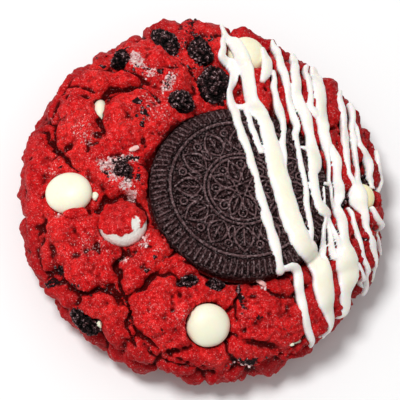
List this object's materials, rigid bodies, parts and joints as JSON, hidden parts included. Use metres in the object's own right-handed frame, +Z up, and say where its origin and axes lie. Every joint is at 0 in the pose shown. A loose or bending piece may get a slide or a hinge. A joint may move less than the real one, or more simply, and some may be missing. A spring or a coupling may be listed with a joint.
{
  "type": "red velvet cookie with a sandwich biscuit on top",
  "caption": "Thick round red velvet cookie with an embossed chocolate biscuit pressed into its top, white chocolate chips, dark biscuit chunks and white drizzle.",
  "frame": {"origin": "centre of the flat foot that the cookie rests on", "axes": "+Z up out of the cookie's top, +Y towards the side that the picture shows at the top, +X towards the drizzled side"},
  "size_m": [0.0909, 0.0938, 0.028],
  "materials": {
    "dough": "baked red crumb, grainy and slightly oily",
    "dark_biscuit": "dry, fine cocoa crumb",
    "white_chocolate": "smooth, satin"
  },
  "bodies": {
    "root": {"dough": "dough", "biscuit": "dark_biscuit", "chip_left": "white_chocolate", "chip_bottom": "white_chocolate", "chip_smeared": "white_chocolate", "chip_crevice": "white_chocolate", "chip_top": "white_chocolate", "chip_right": "white_chocolate", "chunk_top_left": "dark_biscuit", "chunk_top_right": "dark_biscuit", "chunk_ball": "dark_biscuit", "chunk_large": "dark_biscuit", "chunk_upper_left": "dark_biscuit", "chunk_left": "dark_biscuit", "chunk_lower_left": "dark_biscuit", "chunk_low": "dark_biscuit", "chunk_rim": "dark_biscuit", "chunk_right": "dark_biscuit", "chunk_far_right": "dark_biscuit"}
  },
  "joints": []
}
